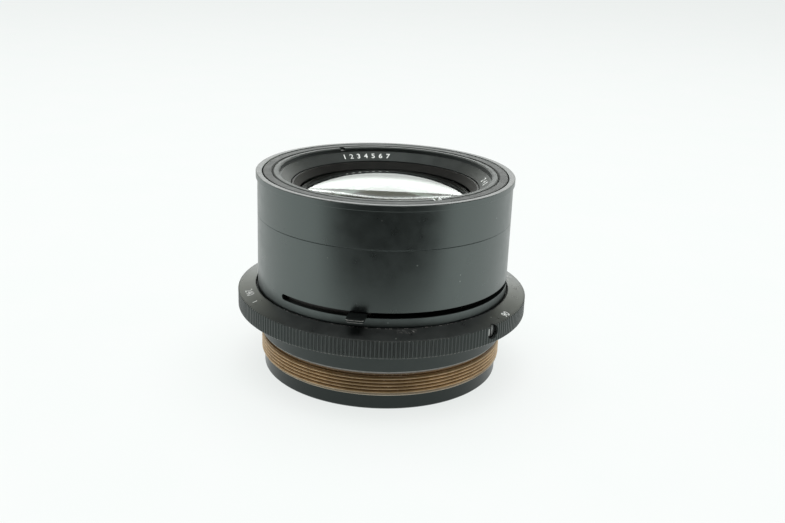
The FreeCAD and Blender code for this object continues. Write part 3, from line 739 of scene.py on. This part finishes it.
def make_neck():
    """A fine skin just over the barrel's own neck."""
    low, high = SLEEVE_Z1, RING_Z0 - 0.05 * MM
    skin = NECK_R + 0.02 * MM
    piece = lathe("barrel_neck", [
        (THREAD_R - MM, low), (skin - 0.45 * MM, low), (skin, low + 0.6 * MM),
        (skin, high), (THREAD_R - MM, high)])
    finish_piece(piece, "barrel", BLACK_NECK, "satin_black")


def make_rear_cell():
    """The rear cell: the band and the rim that it stands on, and the seats for its glasses."""
    top = SLEEVE_Z0 - 0.02 * MM
    tail, tube, seat, mouth = 32.75 * MM, 29.0 * MM, 24.55 * MM, 27.05 * MM
    small, stop = 20.55 * MM, 19.3 * MM
    end, ledge, shoulder, groove = 18.8 * MM, 17.95 * MM, 14.0 * MM, 6.1 * MM
    piece = lathe("rear_cell_body", [
        (30.0 * MM, 0.0), (BAND_R - 0.4 * MM, 0.0), (BAND_R, 0.4 * MM), (BAND_R, top),
        (tail, top), (tail, 12.0 * MM), (tube, 13.5 * MM), (tube, end), (stop, end),
        (stop, ledge), (small, ledge), (small, shoulder), (seat, shoulder), (seat, groove),
        (mouth, groove), (mouth, 2.0 * MM)], 0.12 * MM)
    finish_piece(piece, "barrel", BLACK_BAND, "satin_black", "rear_cell_housing")


def make_front_cell():
    """The front cell: the flat ring inside the rim, and the stepped bore for the glasses."""
    top, low = LIP_Z, bottom_of("front_cell_housing")
    face, inner = 35.45 * MM, NAME_R + 0.05 * MM
    neck, bore, step = 27.65 * MM, radius_of("front_doublet_outer_glass") + 0.05 * MM, 41.25 * MM
    floor = bottom_of("name_ring") - 0.1 * MM
    seat = 53.0 * MM
    tube, mouth, small = 33.95 * MM, 20.5 * MM, 22.05 * MM
    shoulder, stop = 45.8 * MM, 35.75 * MM
    piece = lathe("front_cell_body", [
        (mouth, low), (tube, low), (tube, shoulder), (HOUSING_R, shoulder),
        (HOUSING_R, 56.5 * MM), (face, 56.6 * MM), (face, top - 0.15 * MM),
        (face - 0.15 * MM, top), (inner + 0.4 * MM, top), (inner, top - 0.45 * MM),
        (inner, floor), (neck, floor), (neck, seat), (bore, seat), (bore, step),
        (small, step), (small, stop), (mouth, stop)], 0.06 * MM)
    finish_piece(piece, "barrel", BLACK_CELL, "satin_black", "front_cell_housing")


def make_name_ring():
    """The lip with its two spanner notches, a short thread inside it, and the lettered cone."""
    top, low = LIP_Z, bottom_of("name_ring")
    wall = 30.8 * MM
    outline = [(CONE_LOW[0], low), (NAME_R, low), (NAME_R, top - 0.44 * MM),
               (NAME_R - 0.35 * MM, top - 0.06 * MM), (31.3 * MM, top),
               (wall, top - 0.32 * MM)]
    for turn in range(3):
        height = top - (0.45 + 0.28 * turn) * MM
        outline += [(wall + 0.1 * MM, height), (wall, height - 0.14 * MM)]
    outline += [(wall, CONE_HIGH[1]), CONE_HIGH, CONE_LOW]
    piece = lathe("name_ring_lip", outline, 0.05 * MM)
    carve(piece, [radial_block("notch%d" % n, azimuth, 30.4 * MM, 33 * MM, 1.6 * MM,
                               top - 0.72 * MM, top + MM)
                  for n, azimuth in enumerate(NOTCH_AZIMUTHS)])
    finish_piece(piece, "barrel", BLACK_NAME, "satin_black", "name_ring")


def make_glass_retainer():
    """The thin ring round the front glass, with its coned baffle."""
    top, low = top_of("front_glass_retainer"), bottom_of("front_glass_retainer")
    piece = lathe("glass_retainer_ring", [
        (25.0 * MM, low + 0.35 * MM), (25.9 * MM, low), (RETAINER_R, low),
        (RETAINER_R, low + 1.45 * MM), (RETAINER_R - 0.4 * MM, low + 1.6 * MM),
        (RETAINER_R - 0.4 * MM, top), (RETAINER_R - 0.95 * MM, top)], 0.05 * MM)
    finish_piece(piece, "barrel", BAFFLE, "matt_black", "front_glass_retainer")


# Node, edge radius, then the height and the curve of the lower and of the upper face, all in mm.
GLASSES = (
    ("rear_doublet_outer_glass", 24.5, 2.0, 70.0, 4.4, 60.0),
    ("rear_doublet_inner_glass", 24.5, 4.4, 60.0, 10.4, 150.0),
    ("rear_meniscus_glass", 20.5, 11.6, 80.0, 14.4, 62.0),
    ("front_meniscus_glass", 22.0, 39.8, -62.0, 44.0, -80.0),
    ("front_doublet_inner_glass", 25.8, 46.5, -150.0, 53.0, -60.0),
    ("front_doublet_outer_glass", 25.8, 53.0, -60.0, 57.1, -78.0))


def make_glasses():
    """Every glass, drawn in by a hair so that cemented faces don't coincide."""
    gap = 0.01
    for node, edge, low, low_curve, high, high_curve in GLASSES:
        is_front = node == "front_doublet_outer_glass"
        piece = lens_element(node.replace("_glass", "_element"), (edge - gap) * MM,
                             (low + gap) * MM, low_curve * MM, (high - gap) * MM, high_curve * MM)
        finish_piece(piece, "barrel", FRONT_GLASS if is_front else INNER_GLASS, "coated_glass",
                     node)
        piece.data.materials.append(CEMENTED if is_front else INNER_GLASS)


def make_tab():
    """The slot cover's tab: a thin plate with rounded corners and softened edges."""
    turn = Matrix.Rotation(math.radians(TAB_AZIMUTH - 90), 3, "Z")
    width, reach, start = 5.0 * MM, TAB_R, 35.0 * MM
    low, high = TAB_LOW.z, TAB_HIGH.z
    corner = 0.8 * MM
    outline = [(start, -width / 2)]
    for side in (-1, 1):
        for step in range(7):
            angle = math.pi / 2 * (step / 6)
            if side < 0:
                outline.append((reach - corner + corner * math.sin(angle),
                                -width / 2 + corner - corner * math.cos(angle)))
            else:
                outline.append((reach - corner + corner * math.cos(angle),
                                width / 2 - corner + corner * math.sin(angle)))
    outline.append((start, width / 2))
    count = len(outline)
    vertices = [Vector((x, y, z)) for z in (low, high) for x, y in outline]
    vertices = [turn @ v for v in vertices]
    faces = [tuple(range(count - 1, -1, -1)), tuple(range(count, 2 * count))]
    for n in range(count):
        nxt = (n + 1) % count
        faces.append((n, nxt, count + nxt, count + n))
    piece = new_object("slot_tab", vertices, faces)
    bevel = piece.modifiers.new("edges", "BEVEL")
    bevel.width = 0.22 * MM
    bevel.segments = 3
    bevel.limit_method = "ANGLE"
    bevel.harden_normals = True
    finish_piece(piece, "slot_cover", BLACK_TAB, "blackened_brass", "slot_cover_tab")


def lettering(name, text, size, place, material, body, weight=0.0):
    """Thin raised figures on a surface: place(across, up, out) gives each vertex's point."""
    curve = bpy.data.curves.new(name, "FONT")
    curve.body = text
    curve.size = size
    curve.align_x = "CENTER"
    curve.align_y = "CENTER"
    curve.offset = weight * size
    curve.extrude = 0.02 * MM
    curve.resolution_u = 6
    made = place_in_scene(name + "_curve", curve)
    graph = bpy.context.evaluated_depsgraph_get()
    mesh = bpy.data.meshes.new_from_object(made.evaluated_get(graph))
    bpy.data.objects.remove(made)
    for vertex in mesh.vertices:
        vertex.co = place(*vertex.co)
    piece = place_in_scene(name, mesh)
    tidy_mesh(mesh)
    finish_piece(piece, body, material, "satin_black")


def tidy_mesh(mesh):
    """Join what touches and turn every face outward."""
    work = bmesh.new()
    work.from_mesh(mesh)
    bmesh.ops.remove_doubles(work, verts=work.verts, dist=0.001 * MM)
    bmesh.ops.recalc_face_normals(work, faces=work.faces)
    work.to_mesh(mesh)
    work.free()


def on_cone(azimuth, low, high, height, way=1):
    """A place function on a cone between two (radius, height) rims, at a share of its width."""
    start, end = Vector(low), Vector(high)
    along = (end - start).normalized()
    normal = Vector((-along.y, along.x))
    if normal.y < 0:
        normal = -normal
    middle = start.lerp(end, height)

    def place(across, up, out):
        spot = middle + along * up + normal * (out + 0.004 * MM)
        return around(spot.x, azimuth + way * math.degrees(across / middle.x), spot.y)

    return place


def radial_tick(name, azimuth, low, high, width, shares, material, body):
    """A thin raised line that runs up a cone."""
    place = on_cone(azimuth, low, high, 0.0)
    length = (Vector(high) - Vector(low)).length
    corners = [(side * width / 2, share * length, out)
               for out in (-0.02 * MM, 0.02 * MM)
               for side, share in ((-1, shares[0]), (1, shares[0]), (1, shares[1]),
                                   (-1, shares[1]))]
    faces = [(3, 2, 1, 0), (4, 5, 6, 7), (0, 1, 5, 4), (1, 2, 6, 5), (2, 3, 7, 6), (3, 0, 4, 7)]
    piece = new_object(name, [place(*corner) for corner in corners], faces)
    tidy_mesh(piece.data)
    finish_piece(piece, body, material, "satin_black")


# Text, azimuth, size in mm, place up the bevel (0 to 1) and fill.
SCALE_FIGURES = (
    ("90", 58.8, 2.8, 0.30, "white"), ("22", 78.0, 2.5, 0.5, "faint"),
    ("16", 88.6, 2.5, 0.5, "faint"), ("11", 103.5, 2.5, 0.5, "grey"),
    ("8", 124.7, 2.5, 0.5, "white"), ("5.6", 155.0, 2.5, 0.5, "white"),
    ("240", -71.8, 3.1, 0.5, "grey"))
# Name, text, the middle figure's azimuth, degrees between figures, and added weight.
NAME_FIGURES = (("name", "1234567", 193.6, 4.65, 0.015), ("focus", "240", 91.5, 4.4, 0.0))


def make_lettering():
    """The ring's scale, its two ticks, and the figures on the name ring's cone."""
    fills = {"white": WHITE_FILL, "grey": GREY_FILL, "faint": FAINT_FILL}
    low, high = (RING_R, GRIP_TOP), (BEVEL_R, RING_Z1)
    for number, (text, azimuth, size, share, fill) in enumerate(SCALE_FIGURES):
        lettering("scale_%d" % number, text, size * MM, on_cone(azimuth, low, high, share),
                  fills[fill], "aperture_ring")
    radial_tick("focal_tick", -61.5, low, high, 0.26 * MM, (0.32, 0.56), WHITE_FILL,
                "aperture_ring")
    radial_tick("index_line", 155.0, (BARREL_R, SHELL_Z0), (BARREL_R, SHELL_Z0 + 2.6 * MM),
                0.3 * MM, (0.12, 1.0), WHITE_FILL, "barrel")
    for label, text, middle, step, weight in NAME_FIGURES:
        for n, digit in enumerate(text):
            azimuth = middle - step * (n - len(text) // 2)
            lettering("%s_%d" % (label, n), digit, 2.5 * MM,
                      on_cone(azimuth, CONE_LOW, CONE_HIGH, 0.5, -1), WHITE_FILL, "barrel", weight)


# ---- CAD nodes that stay ------------------------------------------------------------------------

def paint_frame():
    """The CAD nodes keep their shapes, and the ones that no piece replaces show these."""
    for name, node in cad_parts.items():
        if name.startswith("iris_blade"):
            material = BLADE_STEEL
        elif name in ("iris_cam_ring", "iris_pivot_plate", "slot_cover_band"):
            material = BLACK_BRASS
        elif name == "main_barrel":
            material = BLACK_CELL
        else:
            material = MATT
        node.data.materials.clear()
        node.data.materials.append(material)


# ---- stage --------------------------------------------------------------------------------------

def make_floor():
    """A lit white sweep: it mostly glows, so that it stays even right up to the lens."""
    half = 90.0
    floor = new_object("floor", [(-half, -half, 0), (half, -half, 0), (half, half, 0),
                                 (-half, half, 0)], [(0, 1, 2, 3)])
    s = Shader("pale_paper")
    tone = s.mix(s.ramp(s.noise(30.0, 2.0), 0.3, 0.7), colour(0.965, 1.0, 0.985),
                 colour(0.975, 1.0, 0.99))
    glow = s.node("ShaderNodeEmission", {"Color": tone, "Strength": 0.800})
    paper = s.node("ShaderNodeBsdfDiffuse", {"Color": colour(0.10, 0.102, 0.101)})
    both = s.node("ShaderNodeAddShader", {0: glow.outputs[0], 1: paper.outputs[0]})
    floor.data.materials.append(s.finish(both))


def only_reflected(card):
    """A stage card that mirrors show and that does nothing else."""
    card.visible_camera = False
    card.visible_diffuse = False
    card.visible_shadow = False


def make_dark_card():
    """A dark patch of floor before the lens that only reflections see: the table's unlit end."""
    near, far, half = -0.055, -1.2, 1.2
    card = new_object("dark_card", [(-half, far, 0.0002), (half, far, 0.0002),
                                    (half, near, 0.0002), (-half, near, 0.0002)], [(0, 1, 2, 3)])
    s = Shader("unlit_table")
    x, y, _ = s.axes()
    side = s.math("DIVIDE", x, s.math("ABSOLUTE", y))
    side = s.math("ABSOLUTE", s.math("SUBTRACT", side, 0.10))
    share = s.math("MULTIPLY", s.ramp(side, 0.60, 1.62, 1.0, 0.0),
                   s.ramp(s.math("ABSOLUTE", y), 0.07, 0.15))
    clear = s.node("ShaderNodeBsdfTransparent")
    black = s.node("ShaderNodeBsdfDiffuse", {"Color": colour(0.02, 0.02, 0.02)})
    both = s.node("ShaderNodeMixShader", {0: share, 1: clear.outputs[0], 2: black.outputs[0]})
    card.data.materials.append(s.finish(both))
    only_reflected(card)


def make_softbox():
    """A softbox behind the lens that the front glass mirrors: bright panel, liner, lit rim."""
    away = 1.5
    low, high, half = 0.155 * away, 1.5 * away, 0.75 * away
    card = new_object("softbox", [(-half, away, low), (half, away, low), (half, away, high),
                                  (-half, away, high)], [(0, 1, 2, 3)])
    s = Shader("softbox_face")
    x, _, z = s.axes()
    u, v = s.math("DIVIDE", x, away), s.math("DIVIDE", z, away)
    rise = s.math("MAXIMUM", s.math("SUBTRACT", v, 0.27), 0.0)

    def arch(width, height):
        """1 on an arch of a half width and a height above the spring line."""
        return s.length(s.math("DIVIDE", u, width), s.math("DIVIDE", rise, height))

    panel = s.ramp(arch(0.268, 0.415), 0.975, 1.02, 1.0, 0.0)
    outer = arch(0.285, 0.60)
    frame_line = s.near(outer, 1.0, 0.012, 0.035)
    bright = s.math("MULTIPLY_ADD", s.math("ABSOLUTE", u), 0.2, v)
    bright = s.ramp(bright, 0.22, 0.46, 1.6, 5.6)
    liner = s.ramp(outer, 0.82, 1.0, 0.9, 1.7)
    liner = s.math("ADD", liner, s.ramp(u, -0.22, -0.08, 0.8, 0.0))
    liner = s.mix(s.ramp(outer, 1.02, 1.10), liner, s.ramp(v, 0.45, 0.85, 1.2, 0.15))
    level = s.math("ADD", s.math("MULTIPLY", s.math("SUBTRACT", bright, liner), panel), liner)
    level = s.math("MULTIPLY_ADD", frame_line, 4.2, level)
    tone = s.mix(s.ramp(level, 0.9, 1.6), colour(1.0, 1.0, 0.85), colour(0.98, 1.0, 0.98))
    glow = s.node("ShaderNodeEmission", {"Color": tone, "Strength": level})
    card.data.materials.append(s.finish(glow))
    only_reflected(card)


def make_world():
    """White walls at the sides and the back, a dim ceiling, and a dark room behind the viewer."""
    world = bpy.data.worlds.new("studio")
    bpy.context.scene.world = world
    world.use_nodes = True
    s = Shader.__new__(Shader)  # the same calls, but on the world's own nodes
    s.tree = world.node_tree
    s.tree.nodes.clear()
    direction = s.node("ShaderNodeTexCoord").outputs["Generated"]
    x, y, z = s.node("ShaderNodeSeparateXYZ", {0: direction}).outputs
    turn = s.math("ARCTAN2", s.math("ABSOLUTE", x), s.math("MULTIPLY", y, -1.0))
    wall = s.ramp(turn, math.radians(40), math.radians(68), 0.03, 1.15)
    ceiling = s.ramp(z, 0.42, 0.57, 1.0, 0.17)
    overhead = s.ramp(z, 0.86, 0.95, 0.0, 1.0)
    level = s.math("MULTIPLY_ADD", wall, ceiling, overhead)
    glow = s.node("ShaderNodeBackground", {"Color": colour(0.93, 0.965, 0.955),
                                           "Strength": level})
    output = s.node("ShaderNodeOutputWorld")
    s.tree.links.new(glow.outputs[0], output.inputs[0])


def make_overhead_light():
    """A large soft lamp over the lens, which isn't mirrored in it."""
    lamp = bpy.data.lights.new("overhead", "AREA")
    lamp.shape = "DISK"
    lamp.size = 1.2
    lamp.energy = 22.0
    made = place_in_scene("overhead", lamp)
    made.location = (0.0, 0.1, 1.1)
    made.rotation_euler = (-made.location).to_track_quat("-Z", "Y").to_euler()
    made.visible_glossy = False


def make_camera():
    """At the viewing angle of a person looking down at the lens on a table, leaning slightly."""
    eye = Vector((0.002895, -0.285174, 0.129586))
    pitch, roll = math.radians(19.023), math.radians(2.125)
    forward = Vector((0, math.cos(pitch), -math.sin(pitch)))
    right = Vector((1, 0, 0))
    up = right.cross(forward)
    across = right * math.cos(roll) + up * math.sin(roll)
    above = up * math.cos(roll) - right * math.sin(roll)
    lens = bpy.data.cameras.new("camera")
    lens.sensor_width = 36.0
    lens.lens = 46.19
    lens.clip_start, lens.clip_end = 0.01, 150.0
    made = bpy.data.objects.new("camera", lens)
    made.matrix_world = Matrix((
        (across.x, above.x, -forward.x, eye.x), (across.y, above.y, -forward.y, eye.y),
        (across.z, above.z, -forward.z, eye.z), (0, 0, 0, 1)))
    bpy.context.scene.collection.objects.link(made)
    bpy.context.scene.camera = made


paint_frame()
make_front_shell()
make_rear_shell()
make_aperture_ring()
make_drive_screw()
make_thread()
make_neck()
make_rear_cell()
make_front_cell()
make_name_ring()
make_glass_retainer()
make_glasses()
make_tab()
make_lettering()
make_floor()
make_dark_card()
make_softbox()
make_world()
make_overhead_light()
make_camera()
bpy.context.scene.view_settings.view_transform = "Standard"  # so that white paper stays white
